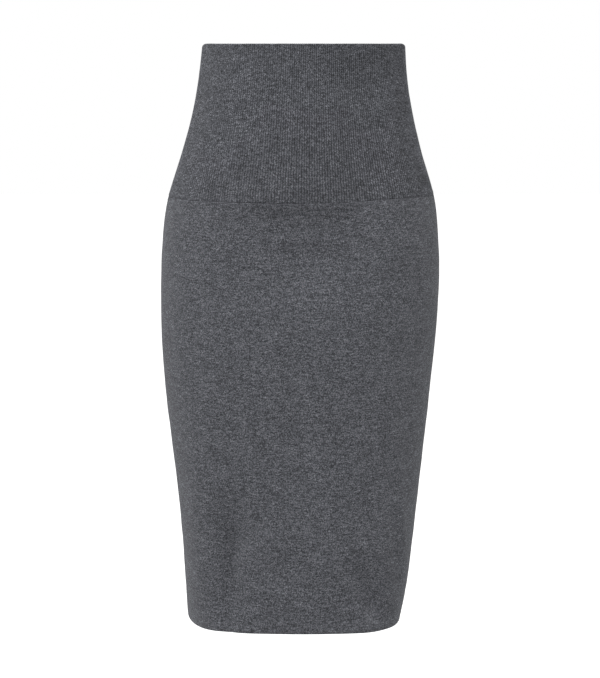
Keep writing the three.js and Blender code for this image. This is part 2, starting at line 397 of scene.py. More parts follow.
@dataclass(frozen=True)
class KnitFinish:
    """A weft knit of melange yarn, drawn from its stitches.

    Each wale is a column of V stitches, two legs wide, and each course one stitch high.
    """

    name: str
    yarn: MelangeYarn
    wale: float  # mm between columns of stitches
    course: float  # mm between rows of stitches
    relief: float  # mm from the top of a stitch to the hollow between
    hollow_shade: float  # how light the painted shade leaves the hollows between stitches, from 0, black, to 1, as light as the stitch
    speckle: float  # how much the tone differs from stitch to stitch
    valley_shade: float = 1.0  # how light the painted shade leaves the cloth sunk between two wales, in the same way
    tones: int = 1  # how many tones of the yarn lie side by side in one wale
    paler_shade_reach: float = 0.0  # mm from the cloth's left edge over which its ribs are drawn open and the painted shade between them is paler

    def build(self) -> bpy.types.Material:
        """Returns the node material."""
        material = bpy.data.materials.new(self.name)
        material.use_nodes = True
        tree, yarn = material.node_tree, self.yarn
        tree.nodes.clear()
        place = self._place(tree)
        stitches = self._stitches(tree, place)
        colour = self._colour(tree, place, self._tone(tree, place, stitches), stitches)
        shader = add_node(
            tree,
            "ShaderNodeBsdfPrincipled",
            {
                "Base Color": colour,
                "Normal": self._bump(tree, place, stitches),
                "Roughness": yarn.roughness,
                "IOR": yarn.ior,
                "Specular IOR Level": yarn.gloss,
                "Metallic": 0.0,
                "Sheen Weight": yarn.sheen,
                "Sheen Roughness": 0.45,
                "Sheen Tint": linear(yarn.halo),
            },
        )
        add_node(tree, "ShaderNodeOutputMaterial", {"Surface": shader})
        material.diffuse_color = linear(yarn.body)
        material.roughness = yarn.roughness
        return material

    def _place(self, tree: Tree) -> Node:
        """Finds the place on the flat cloth in mm, where stitches wander as the yarn's tension varies."""
        cloth = add_node(tree, "ShaderNodeUVMap", settings={"uv_map": CLOTH_MAP})
        drift = add_node(tree, NOISE, {"Vector": cloth, "Scale": 0.16, "Detail": 2.0})
        centred = add_node(
            tree, VECTOR_MATH, {0: drift.outputs["Color"], 1: (0.5, 0.5, 0.5)}, {"operation": "SUBTRACT"}
        )
        return add_node(
            tree, VECTOR_MATH, {0: centred, 1: (0.5, 1.4, 0.0), 2: cloth}, {"operation": "MULTIPLY_ADD"}
        )

    def _stitches(self, tree: Tree, place: Node) -> StitchNodes:
        """Draws the V stitches.

        Args:
            tree: The material's nodes.
            place: The place on the cloth in millimetres.

        Returns:
            The nodes that number and shape the stitches.
        """
        split = add_node(tree, "ShaderNodeSeparateXYZ", {0: place})
        across = add_node(tree, MATH, {0: split.outputs["X"], 1: self.wale}, {"operation": "DIVIDE"})
        down = add_node(tree, MATH, {0: split.outputs["Y"], 1: self.course}, {"operation": "DIVIDE"})
        leg_turn = add_node(tree, MATH, {0: across, 1: 2 * math.pi}, {"operation": "MULTIPLY"})
        leg_wave = add_node(tree, MATH, {0: leg_turn}, {"operation": "SINE"})
        leg_arch = add_node(tree, MATH, {0: leg_wave}, {"operation": "ABSOLUTE"})
        leg_top = add_node(tree, MATH, {0: leg_arch, 1: 0.6}, {"operation": "POWER"})
        from_middle = add_node(tree, MATH, {0: across, 1: 0.5}, {"operation": "PINGPONG"})
        slanted = add_node(tree, MATH, {0: from_middle, 1: -2.1, 2: down}, {"operation": "MULTIPLY_ADD"})
        strand_turn = add_node(tree, MATH, {0: slanted, 1: math.pi}, {"operation": "MULTIPLY"})
        strand_wave = add_node(tree, MATH, {0: strand_turn}, {"operation": "SINE"})
        strand_arch = add_node(tree, MATH, {0: strand_wave}, {"operation": "ABSOLUTE"})
        strand_round = add_node(tree, MATH, {0: strand_arch, 1: 0.6}, {"operation": "POWER"})
        strand_top = add_node(tree, MATH, {0: strand_round, 1: 0.7, 2: 0.3}, {"operation": "MULTIPLY_ADD"})
        height = add_node(tree, MATH, {0: leg_top, 1: strand_top}, {"operation": "MULTIPLY"})
        parted = add_node(tree, MATH, {0: across, 1: float(self.tones)}, {"operation": "MULTIPLY"})
        column = add_node(tree, MATH, {0: parted}, {"operation": "FLOOR"})
        row = add_node(tree, MATH, {0: slanted}, {"operation": "FLOOR"})
        rib_turn = add_node(tree, MATH, {0: across, 1: math.pi}, {"operation": "MULTIPLY"})
        rib_wave = add_node(tree, MATH, {0: rib_turn}, {"operation": "SINE"})
        rib = add_node(tree, MATH, {0: rib_wave}, {"operation": "ABSOLUTE"})
        return StitchNodes(column, row, height, rib)

    def _tone(self, tree: Tree, place: Node, stitches: StitchNodes) -> Node:
        """Mixes how much light fibre shows.

        Args:
            tree: The material's nodes.
            place: The place on the cloth in millimetres.
            stitches: The nodes that number the stitches.

        Returns:
            A value around 0.5.
        """
        stitch = add_node(tree, "ShaderNodeCombineXYZ", {0: stitches.column, 1: stitches.row, 2: 0.37})
        by_stitch = add_node(tree, "ShaderNodeTexWhiteNoise", {"Vector": stitch}, {"noise_dimensions": "3D"})
        # The mix of a yarn changes every few millimetres along a course
        split = add_node(tree, "ShaderNodeSeparateXYZ", {0: place})
        start = add_node(tree, MATH, {0: stitches.row, 1: 0.618}, {"operation": "MULTIPLY"})
        along = add_node(tree, MATH, {0: split.outputs["X"], 1: 0.2, 2: start}, {"operation": "MULTIPLY_ADD"})
        run = add_node(tree, MATH, {0: along}, {"operation": "FLOOR"})
        stretch = add_node(tree, "ShaderNodeCombineXYZ", {0: run, 1: stitches.row, 2: 0.71})
        by_run = add_node(tree, "ShaderNodeTexWhiteNoise", {"Vector": stretch}, {"noise_dimensions": "3D"})
        fibre = add_node(tree, NOISE, {"Vector": place, "Scale": 2.4, "Detail": 2.0, "Roughness": 0.7})
        cloud = add_node(tree, NOISE, {"Vector": place, "Scale": 0.035, "Detail": 3.0, "Roughness": 0.55})
        tone: Node | float = 0.5
        for mix, weight in ((by_stitch, 0.8), (by_run, 0.34), (fibre, 0.8), (cloud, 0.15)):
            centred = add_node(tree, MATH, {0: mix, 1: 0.5}, {"operation": "SUBTRACT"})
            weights = {0: centred, 1: weight * self.speckle, 2: tone}
            tone = add_node(tree, MATH, weights, {"operation": "MULTIPLY_ADD"})
        # Here and there a nearly white fibre lies on top
        odd = add_node(tree, "ShaderNodeSeparateColor", {0: by_stitch.outputs["Color"]})
        pale = add_node(tree, MATH, {0: odd.outputs[1], 1: 0.997}, {"operation": "GREATER_THAN"})
        return add_node(tree, MATH, {0: pale, 1: 0.5, 2: tone}, {"operation": "MULTIPLY_ADD"})

    def _colour(self, tree: Tree, place: Node, tone: Node, stitches: StitchNodes) -> bpy.types.NodeSocket:
        """Colours the yarn by its mix and paints shade into the hollows between stitches and between ribs.

        Args:
            tree: The material's nodes.
            place: The place on the cloth in millimetres.
            tone: How much light fibre shows.
            stitches: The nodes that shape the stitches.

        Returns:
            The colour.
        """
        ramp = add_node(tree, "ShaderNodeValToRGB", {"Fac": tone})
        first, last = ramp.color_ramp.elements
        first.position, first.color = 0.1, linear(self.yarn.shade)
        last.position, last.color = 1.0, linear(self.yarn.fleck)
        ramp.color_ramp.elements.new(0.5).color = linear(self.yarn.body)
        ramp.color_ramp.elements.new(0.8).color = linear(self.yarn.light)
        # Painted shade: the colour is darkened in the hollows between stitches and in the valleys between
        # ribs
        between = {"Value": stitches.height, "From Max": 0.8, "To Min": self.hollow_shade, "To Max": 1.0}
        strongest_valley_shade: Node | float = self.valley_shade
        if self.paler_shade_reach > 0.0:
            # Ribs that are drawn open lie flatter, so the painted shade between them is paler here
            split = add_node(tree, "ShaderNodeSeparateXYZ", {0: place})
            reach = {"From Min": 0.6 * self.paler_shade_reach, "From Max": 1.4 * self.paler_shade_reach}
            tight = {"Value": split.outputs["X"], "To Min": 0.34, "To Max": self.valley_shade}
            strongest_valley_shade = add_node(tree, "ShaderNodeMapRange", reach | tight)
        sunk = {"Value": stitches.rib, "From Max": 0.65, "To Min": strongest_valley_shade, "To Max": 1.0}
        hollow_shade = add_node(tree, "ShaderNodeMapRange", between)
        valley_shade = add_node(tree, "ShaderNodeMapRange", sunk)
        shade = add_node(tree, MATH, {0: hollow_shade, 1: valley_shade}, {"operation": "MULTIPLY"})
        # Inputs 6 and 7 and output 2 are the ones for colours
        mixed = {"data_type": "RGBA", "blend_type": "MULTIPLY"}
        return add_node(tree, "ShaderNodeMix", {0: 1.0, 6: ramp, 7: shade}, mixed).outputs[2]

    def _bump(self, tree: Tree, place: Node, stitches: StitchNodes) -> Node:
        """Raises the stitches and the loose fibre on them.

        Args:
            tree: The material's nodes.
            place: The place on the cloth in millimetres.
            stitches: The nodes that shape the stitches.

        Returns:
            The shading normal.
        """
        fuzz = add_node(tree, NOISE, {"Vector": place, "Scale": 3.2, "Detail": 2.0})
        raised = add_node(tree, MATH, {0: fuzz, 1: 0.3, 2: stitches.height}, {"operation": "MULTIPLY_ADD"})
        return add_node(
            tree, "ShaderNodeBump", {"Strength": 0.8, "Distance": self.relief * MM, "Height": raised}
        )


@dataclass(frozen=True)
class ThreadFinish:
    """Spun polyester sewing thread, dyed: a tight, smooth, slightly shiny twist."""

    name: str
    colour: str
    twist: float = 0.5  # mm from turn to turn

    def build(self) -> bpy.types.Material:
        """Returns the node material."""
        material = bpy.data.materials.new(self.name)
        material.use_nodes = True
        tree = material.node_tree
        tree.nodes.clear()
        place = add_node(tree, "ShaderNodeTexCoord")
        fibre = add_node(tree, NOISE, {"Vector": place.outputs["Object"], "Scale": 1 / (self.twist * MM)})
        ramp = add_node(tree, "ShaderNodeValToRGB", {"Fac": fibre})
        red, green, blue, _ = linear(self.colour)
        for element, factor in zip(ramp.color_ramp.elements, (0.6, 1.35)):
            element.color = (factor * red, factor * green, factor * blue, 1.0)
        bump = add_node(tree, "ShaderNodeBump", {"Strength": 0.5, "Distance": 0.1 * MM, "Height": fibre})
        look = {"Roughness": 0.7, "IOR": 1.5, "Sheen Weight": 0.1}
        shader = add_node(tree, "ShaderNodeBsdfPrincipled", {"Base Color": ramp, "Normal": bump, **look})
        add_node(tree, "ShaderNodeOutputMaterial", {"Surface": shader})
        return material


# Meshes


def mesh_piece(
    name: str,
    points: Array,
    faces: list[tuple[int, ...]],
    material: bpy.types.Material,
    places: Array | None = None,
) -> bpy.types.Object:
    """Makes one mesh piece.

    Args:
        name: The piece's name.
        points: Corners in millimetres.
        faces: Corner numbers of each face, anticlockwise from outside.
        material: Its finish.
        places: Where each corner lies on the flat cloth, in millimetres.

    Returns:
        The new object.
    """
    mesh = bpy.data.meshes.new(name)
    mesh.from_pydata((points * MM).tolist(), [], faces)
    mesh.polygons.foreach_set("use_smooth", np.ones(len(mesh.polygons), dtype=bool))
    if places is not None:
        layer = mesh.uv_layers.new(name=CLOTH_MAP)
        corners = np.empty(len(mesh.loops), dtype=np.int32)
        mesh.loops.foreach_get("vertex_index", corners)
        layer.data.foreach_set("uv", places[corners].astype(np.float32).ravel())
    mesh.materials.append(material)
    mesh.update()
    piece = bpy.data.objects.new(name, mesh)
    bpy.context.scene.collection.objects.link(piece)
    return piece


@dataclass(frozen=True)
class WallPath:
    """One face of a cloth wall from top to bottom: depth, distance out, and the direction it faces."""

    down: Array
    out: Array
    face_down: Array
    face_out: Array

    @staticmethod
    def of(corners: list[tuple[float, float]], inward: bool) -> "WallPath":
        """Makes a face from its depths and distances out.

        Args:
            corners: Depth and distance out of each row, from top to bottom.
            inward: Whether this is the inner face.

        Returns:
            The face, with the direction that each row faces.
        """
        path = np.array(corners, dtype=float)
        along = np.gradient(path, axis=0)
        along /= np.linalg.norm(along, axis=1, keepdims=True)
        sign = -1.0 if inward else 1.0
        return WallPath(path[:, 0], path[:, 1], -along[:, 1] * sign, along[:, 0] * sign)


class ClothPiece:
    """A cut piece of cloth as one closed wall, swept from side seam to side seam."""

    EDGE_ROLL = 0.7  # mm that the cloth rolls in at a side seam
    EDGE_REACH = 2.2  # mm from the side seam where the roll starts
    SIDE_GAP = 0.02  # mm between the two sides, which are pulled together by the seam

    def __init__(self, form: WornForm, side: Side) -> None:
        """Keeps the form that the cloth follows and which half this is."""
        self.form = form
        self.side = side

    def shares(self) -> Array:
        """Returns the places across, from 0 to 1."""
        raise NotImplementedError

    def paths(self) -> tuple[WallPath, WallPath]:
        """Returns the outer and the inner face, row for row."""
        raise NotImplementedError

    def relief(self, share: Array, down: Array, inner: bool) -> Array:
        """Returns how far the cloth stands out of its plain face, in millimetres."""
        raise NotImplementedError

    def across(self, share: Array, down: Array) -> Array:
        """Returns the place across the flat cloth, in millimetres from its middle line."""
        return (share - 0.5) * self.form.width(self.side, down)

    def drop(self, share: Array, down: Array) -> Array:
        """Returns how far below its even depth the cloth hangs, in millimetres."""
        return -seam_rise(self.side, share, down)

    def _edge(self, share: Array, down: Array) -> Array:
        """Returns how far the cloth rolls in near the side seams, in millimetres."""
        width = self.form.width(self.side, down)
        nearest = np.minimum(share, 1.0 - share) * width
        return self.EDGE_ROLL * (1.0 - ease(nearest / self.EDGE_REACH)) ** 1.5

    def _face(self, path: WallPath, inner: bool) -> tuple[Array, Array]:
        """Lays out one face.

        Args:
            path: Its rows.
            inner: Whether it is the inner face.

        Returns:
            Points in millimetres and places on the flat cloth, row by row.
        """
        width = self.form.width(self.side, path.down)[:, None]
        trim = self.SIDE_GAP / 2 / width
        share = trim + (1 - 2 * trim) * self.shares()[None, :]
        down = np.broadcast_to(path.down[:, None], share.shape)
        raised = self.relief(share, down, inner) - self._edge(share, down) * (0.25 if inner else 1.0)
        level = down + self.drop(share, down) + path.face_down[:, None] * raised
        out = path.out[:, None] + path.face_out[:, None] * raised
        points = self.form.cloth(self.side, share, level, out)
        offset = BACK_CUT if self.side is Side.BACK else 0.0
        along = -down - 3.0 if inner else down
        places = np.stack([self.across(share, down) + offset, along], axis=-1)
        return points, places

    def build(self, name: str, material: bpy.types.Material) -> bpy.types.Object:
        """Builds the wall.

        Args:
            name: The piece's name.
            material: Its finish.

        Returns:
            The new object.
        """
        outer_path, inner_path = self.paths()
        outer, outer_places = self._face(outer_path, False)
        inner, inner_places = self._face(inner_path, True)
        rows, columns = outer.shape[:2]
        points = np.concatenate([outer.reshape(-1, 3), inner.reshape(-1, 3)])
        places = np.concatenate([outer_places.reshape(-1, 2), inner_places.reshape(-1, 2)])
        number = np.arange(rows * columns).reshape(rows, columns)
        under = number + rows * columns
        last = rows - 1
        blocks = [
            self._quads(number[:-1, :-1], number[1:, :-1], number[1:, 1:], number[:-1, 1:]),
            self._quads(under[:-1, :-1], under[:-1, 1:], under[1:, 1:], under[1:, :-1]),
            self._quads(number[0, :-1], number[0, 1:], under[0, 1:], under[0, :-1]),
            self._quads(number[last, :-1], under[last, :-1], under[last, 1:], number[last, 1:]),
            self._quads(number[:-1, 0], under[:-1, 0], under[1:, 0], number[1:, 0]),
            self._quads(number[:-1, -1], number[1:, -1], under[1:, -1], under[:-1, -1]),
        ]
        faces = [tuple(face) for face in np.concatenate(blocks).tolist()]
        return mesh_piece(name, points, faces, material, places)

    @staticmethod
    def _quads(*corners: Array) -> Array:
        """Returns rows of four corner numbers."""
        return np.stack([corner.ravel() for corner in corners], axis=1)


@dataclass
class WaistbandPiece(ClothPiece):
    """The front or back of the waistband: rib knit in two layers, folded over at the waist edge."""

    form: WornForm
    side: Side
    rib_height: float = 0.65
    rib_steps: int = 6  # points across one rib
    row_step: float = 4.4  # mm from one row of points to the next
    seam_corner: float = 0.35  # how rounded the cloth is where it turns into the seam
    corner_drop: float = 3.0  # how far the waist edge dips at the side seams
    corner_reach: float = 34.0  # how far from a side seam, and down from the edge, the dip reaches

    def shares(self) -> Array:
        """Returns six places for each rib."""
        return np.linspace(0.0, 1.0, RIBS * self.rib_steps + 1)

    def across(self, share: Array, down: Array) -> Array:
        """Returns the place across, where each rib is one wale."""
        return (share * RIBS) * RIB_KNIT.wale

    def drop(self, share: Array, down: Array) -> Array:
        """Returns how far the cloth hangs below its even depth, more where the waist edge rounds off."""
        from_side = np.minimum(share, 1.0 - share) * self.form.width(self.side, down)
        near_side = (1.0 - ease(from_side / self.corner_reach)) ** 1.5
        near_edge = 1.0 - ease(down / self.corner_reach)
        return super().drop(share, down) + self.corner_drop * near_side * near_edge

    def paths(self) -> tuple[WallPath, WallPath]:
        """Returns the outer and the inner face, which meet at the fold."""
        fold, foot = BAND_WALL / 2, BAND_DEPTH - SEAM_GAP / 2
        turns = np.radians([4, 22, 45, 68, 90])
        over = [(fold - fold * math.cos(t), -fold + fold * math.sin(t)) for t in turns]
        rows = np.linspace(fold + 3.0, foot - 6.0, int((foot - 9.0) / self.row_step))
        corner = self.seam_corner
        turned = [(foot - corner + corner * math.sin(t), -corner + corner * math.cos(t)) for t in turns[:4]]
        outer = over + [(down, 0.0) for down in rows] + [(foot - 3.0, 0.0)] + turned + [(foot, -corner)]
        inner = [(down, -BAND_WALL - out) for down, out in over]
        inner += [(down, -BAND_WALL) for down in rows] + [(foot - 3.0, -BAND_WALL)]
        inner += [(foot - 2.0 + 0.4 * k, -BAND_WALL) for k in range(5)]
        return WallPath.of(outer, False), WallPath.of(inner, True)

    def relief(self, share: Array, down: Array, inner: bool) -> Array:
        """Returns the ribs, a little uneven, which flatten into the seam."""
        u, v = share * RIBS * RIB_KNIT.wale, down
        wander = 0.10 * soft_noise(u, v, 16.0, 11) + 0.05 * soft_noise(u, v, 5.0, 12)
        phase = share * RIBS + wander * np.minimum(1.0, 40 * np.minimum(share, 1 - share))
        ridge = np.abs(np.sin(math.pi * phase)) ** 0.75
        height = self.rib_height * (1.0 + 0.12 * soft_noise(u, v, 7.0, 13))
        near_seam = ease((BAND_DEPTH - down) / 5.0)
        drawn = 0.65 + 0.35 * ease((share - 0.3) / 0.4)  # ribs drawn flatter on the left
        ribs = height * drawn * (ridge - 1.0) * (0.75 + 0.25 * near_seam)
        if inner:
            return ribs
        lip = 0.25 * np.exp(-(((BAND_DEPTH - 2.6 - down) / 2.6) ** 2))
        return ribs + lip + 0.22 * soft_noise(u, v, 34.0, 14) + 0.10 * soft_noise(u, v, 12.0, 15)


@dataclass
class SkirtPiece(ClothPiece):
    """The front or back of the skirt: one layer of plain knit with a turned-up hem."""

    form: WornForm
    side: Side
    columns: int = 214  # steps across
    row_step: float = 3.0  # mm from one row of points to the next
    seam_corner: float = 0.6  # how rounded the cloth is where it turns into the seam
    lip: float = 0.35  # how far the cloth stands out just under the waistband, on the left

    def shares(self) -> Array:
        """Returns even places, closer together at the side seams."""
        even = np.linspace(0.0, 1.0, self.columns + 1)
        near = np.array([0.0010, 0.0020, 0.0033])
        return np.unique(np.concatenate([even, near, 1.0 - near]))

    def paths(self) -> tuple[WallPath, WallPath]:
        """Returns the outer face and the inner face, which steps in at the top of the hem."""
        top, corner, fold = BAND_DEPTH + SEAM_GAP / 2, self.seam_corner, HEM_WALL / 2
        turns = np.radians([0, 20, 45, 70])
        hem_turns = np.radians([0, 25, 50, 72, 88])
        hem_top = LENGTH - HEM_TURN
        turned = [(top + corner - corner * math.cos(t), -corner + corner * math.sin(t)) for t in turns]
        rows = np.linspace(top + 4.0, hem_top - 4.0, int((hem_top - top - 8.0) / self.row_step))
        step = np.array([-2.6, -1.6, -0.8, -0.3, 0.3, 0.8, 1.6, 2.6])
        hem = np.linspace(hem_top + 5.5, LENGTH - fold - 2.5, 10)
        under = [(LENGTH - fold + fold * math.sin(t), -fold + fold * math.cos(t)) for t in hem_turns]
        outer = turned + [(top + corner, 0.0), (top + 2.4, 0.0)] + [(down, 0.0) for down in rows]
        outer += [(hem_top + s, 0.0) for s in step] + [(down, 0.0) for down in hem] + under
        inner = [(top + corner * k / 4, -SKIRT_WALL) for k in range(5)]
        inner += [(top + 2.4, -SKIRT_WALL)] + [(down, -SKIRT_WALL) for down in rows]
        thick = [0.0, 0.0, 0.0, 0.1, 0.85, 1.0, 1.0, 1.0]
        inner += [(hem_top + 0.6 * s, -SKIRT_WALL - (HEM_WALL - SKIRT_WALL) * k) for s, k in zip(step, thick)]
        inner += [(down, -HEM_WALL) for down in hem]
        inner += [(down, -HEM_WALL - out) for down, out in under]
        return WallPath.of(outer, False), WallPath.of(inner, True)

    def relief(self, share: Array, down: Array, inner: bool) -> Array:
        """Returns the soft unevenness of the cloth, the puckers at the seam and the line of the hem."""
        u, v = self.across(share, down) + (BACK_UNEVEN if self.side is Side.BACK else 0.0), down
        soft = 0.50 * soft_noise(u, v, 46.0, 21) + 0.22 * soft_noise(u, v, 19.0, 22)
        soft += 0.06 * soft_noise(u, v, 7.0, 23)
        from_seam = down - BAND_DEPTH
        pucker = 0.16 * soft_noise(u, v * 0.35, 5.0, 24) * np.exp(-((from_seam / 9.0) ** 2))
        pucker += self.lip * (1.0 - ease((share - 0.4) / 0.25)) * np.exp(-(((from_seam - 2.4) / 1.8) ** 2))
        from_hem_top = down - (LENGTH - HEM_TURN)
        hem_line = -0.16 * np.exp(-((from_hem_top / 1.8) ** 2)) + 0.10 * ease(from_hem_top / 5.0)
        total = soft * ease(from_seam / 14.0) * ease((LENGTH - down) / 6.0) + pucker + hem_line
        return -total if inner else total


def yarn_mesh(
    name: str, paths: Array, facing: Array, radius: float, sides: int, material: bpy.types.Material
) -> bpy.types.Object:
    """Makes many short lengths of yarn or thread as one piece.

    Args:
        name: The piece's name.
        paths: Points of each length, in millimetres.
        facing: The direction out of the cloth at each point.
        radius: Of the yarn, in millimetres.
        sides: Of its round section.
        material: Its finish.

    Returns:
        The new object.
    """
    count, steps = paths.shape[:2]
    along = np.gradient(paths, axis=1)
    along /= np.linalg.norm(along, axis=2, keepdims=True)
    beside = np.cross(along, facing)
    beside /= np.linalg.norm(beside, axis=2, keepdims=True)
    up = np.cross(beside, along)
    taper = np.ones(steps)
    taper[0] = taper[-1] = 0.35
    turns = np.linspace(0.0, 2 * math.pi, sides, endpoint=False)
    ring = radius * taper[None, :, None, None]
    points = paths[:, :, None, :] + ring * (
        np.cos(turns)[None, None, :, None] * up[:, :, None, :]
        + np.sin(turns)[None, None, :, None] * beside[:, :, None, :]
    )
    number = np.arange(count * steps * sides).reshape(count, steps, sides)
    onward = np.roll(number, -1, axis=2)
    quads = np.stack([number[:, :-1], number[:, 1:], onward[:, 1:], onward[:, :-1]], axis=-1).reshape(-1, 4)
    faces = [tuple(face) for face in quads.tolist()]
    faces += [tuple(face) for face in number[:, 0, :].tolist()]
    faces += [tuple(face[::-1]) for face in number[:, -1, :].tolist()]
    # Each length takes the next stretch of yarn, so that its tone differs
    run = 3.7 * np.arange(count)[:, None, None] + np.linspace(0.0, 3.0, steps)[None, :, None]
    around = np.broadcast_to(radius * turns, number.shape)
    places = np.stack([np.broadcast_to(run, number.shape), around], axis=-1).reshape(-1, 2)
    return mesh_piece(name, points.reshape(-1, 3), faces, material, places)


@dataclass
class LinkingSeam:
    """The row of linked stitches that joins the waistband to the skirt, seen in the seam's ditch."""

    form: WornForm
    pitch: float = 2.5  # from one stitch to the next
    radius: float = 0.34  # of the yarn
    below: float = 0.2  # how far below the waistband's foot the stitches lie
    depth: float = 0.55  # how far inside the cloth's face
    drawn_down: float = 0.7  # how much lower they lie where they show best
    drawn_out: float = 1.0  # how much further out they lie there

    def _side(self, side: Side) -> tuple[Array, Array]:
        """Lays the stitches of one half.

        Args:
            side: Front or back.

        Returns:
            Points of each stitch in millimetres, and the direction out at each point.
        """
        width = float(self.form.width(side, np.array([BAND_DEPTH]))[0])
        count = int(width / self.pitch)
        start = (np.arange(count) + 0.5)[:, None] * self.pitch / width
        step = np.array([-0.62, -0.3, 0.0, 0.3, 0.62])[None, :]
        share = np.clip(start + step * self.pitch / width, 0.001, 0.999)
        rng = np.random.default_rng(31 if side is Side.FRONT else 32)
        slant = np.array([-0.42, -0.25, 0.0, 0.25, 0.42])[None, :]
        # Left of the middle the row is drawn down and out, into sight
        shown = ease((share - 0.15) / 0.05) * (1.0 - ease((share - 0.44) / 0.16))
        level = BAND_DEPTH + self.below + self.drawn_down * shown + slant
        level = level + rng.uniform(-0.08, 0.08, (count, 1))
        level = level - seam_rise(side, share, np.full_like(share, BAND_DEPTH))
        lift = np.array([-0.30, -0.05, 0.0, -0.05, -0.30])[None, :]
        tight = 0.22 * soft_noise(share * width, np.zeros_like(share), 38.0, 33)  # drawn in here, slack there
        out = tight - self.depth + self.drawn_out * shown + lift + rng.uniform(-0.18, 0.12, (count, 1))
        points = self.form.cloth(side, share, level, out)
        facing = self.form.cloth(side, share, level, out + 1.0) - points
        return points, facing

    def build(self, material: bpy.types.Material) -> bpy.types.Object:
        """Returns the row of stitches, all round."""
        halves = [self._side(side) for side in Side]
        paths, facing = (np.concatenate(parts) for parts in zip(*halves))
        return yarn_mesh("waist_seam_linking", paths, facing, self.radius, 6, material)


class InsideEdge(Enum):
    """The cut edges that show inside the skirt."""

    WAIST_SEAM = "waist_seam"
    LEFT_SEAM = "left_side_seam"
    RIGHT_SEAM = "right_side_seam"


@dataclass
class SeamAllowance:
    """Cut edges trimmed together, overlocked and pressed flat against the inside of the skirt."""

    form: WornForm
    edge: InsideEdge
    reach: float = 6.5  # how wide the allowance is
    pitch: float = 2.7  # from one overlock stitch to the next
    thread: float = 0.17  # radius of the thread

    def _thickness(self) -> float:
        """Returns three layers at the waist seam, where the waistband joins in, and two elsewhere."""
        return 2.9 if self.edge is InsideEdge.WAIST_SEAM else 2.0

    def _lay(self, side: Side, run: Array, reach: Array, inset: Array) -> Array:
        """Places points of the allowance.

        Args:
            side: The half that it lies against.
            run: How far along the seam: a share of the width at the waist seam, else a depth in mm.
            reach: How far from the seam, in millimetres.
            inset: How far inside the cloth's outer face, in millimetres.

        Returns:
            Points in millimetres.
        """
        run, reach, inset = np.broadcast_arrays(run, reach, inset)
        if self.edge is InsideEdge.WAIST_SEAM:
            level = BAND_DEPTH + reach - seam_rise(side, run, np.full_like(run, BAND_DEPTH))
            return self.form.cloth(side, run, level, -inset)
        share = reach / self.form.width(side, run)
        if self.edge is InsideEdge.RIGHT_SEAM:
            return self.form.cloth(side, share, run, -inset)
        return self.form.cloth(side, 1.0 - share, run, -inset)

    def _runs(self) -> list[tuple[Side, float, float, float]]:
        """Returns the half, start, end and length in mm of each stretch."""
        if self.edge is InsideEdge.WAIST_SEAM:
            width = {side: float(self.form.width(side, np.array([BAND_DEPTH]))[0]) for side in Side}
            return [(side, 0.002, 0.998, width[side]) for side in Side]
        start, end = BAND_DEPTH + 1.0, LENGTH - HEM_TURN + 1.0
        return [(Side.BACK, start, end, end - start)]

    def build(self, cloth: bpy.types.Material, thread: bpy.types.Material) -> list[bpy.types.Object]:
        """Builds the allowance and its overlocking.

        Args:
            cloth: The cloth's finish.
            thread: The thread's finish.

        Returns:
            The two new objects.
        """
        thick = self._thickness()
        low = SKIRT_WALL + 0.05
        reach = np.array([0.0, 0.0, 1.5, self.reach - 0.8, self.reach, self.reach, self.reach - 0.6])
        inset = low + thick * np.array([0.0, 0.9, 1.0, 1.0, 0.75, 0.25, 0.0])
        points, faces, places, first = [], [], [], 0
        loops, facings = [], []
        for side, start, end, length in self._runs():
            rows = int(length / 4.0)
            run = np.linspace(start, end, rows)[:, None]
            wave = 0.25 * np.sin(np.linspace(0, length / 9.0, rows))[:, None]
            block = self._lay(side, run, reach[None, :] + wave * (reach[None, :] > 0), inset[None, :])
            points.append(block.reshape(-1, 3))
            girth = np.cumsum(np.hypot(*np.gradient([reach, inset], axis=1)))[None, :]
            around, onward = np.broadcast_arrays(girth, run * (length / (end - start)))
            places.append(np.stack([around, onward], axis=-1).reshape(-1, 2))
            number = first + np.arange(rows * len(reach)).reshape(rows, len(reach))
            ring = np.roll(number, -1, axis=1)
            quads = np.stack([number[:-1], ring[:-1], ring[1:], number[1:]], axis=-1).reshape(-1, 4)
            if self.edge is not InsideEdge.LEFT_SEAM:
                quads = quads[:, ::-1]
            faces += [tuple(face) for face in quads.tolist()]
            faces += [tuple(number[0].tolist()), tuple(number[-1].tolist()[::-1])]
            first += block[..., 0].size
            count = int(length / self.pitch)
            middle = np.linspace(start, end, count + 2)[1:-1, None]
            slant = (end - start) / length * self.pitch * np.array([-0.35, -0.15, 0.1, 0.3, 0.45])[None, :]
            along = np.array([1.2, 3.6, self.reach - 0.3, self.reach + 0.25, self.reach - 0.1])[None, :]
            deep = low + thick * np.array([1.0, 1.0, 0.97, 0.55, 0.1])[None, :] + 0.1
            loop = self._lay(side, middle + slant, along, deep)
            loops.append(loop)
            facings.append(self._lay(side, middle + slant, along + 0.4, deep + 1.0) - loop)
        name = self.edge.value
        corners, spots = np.concatenate(points), np.concatenate(places)
        allowance = mesh_piece(f"{name}_allowance", corners, faces, cloth, spots)
        stitches = yarn_mesh(
            f"{name}_overlock", np.concatenate(loops), np.concatenate(facings), self.thread, 5, thread
        )
        return [allowance, stitches]


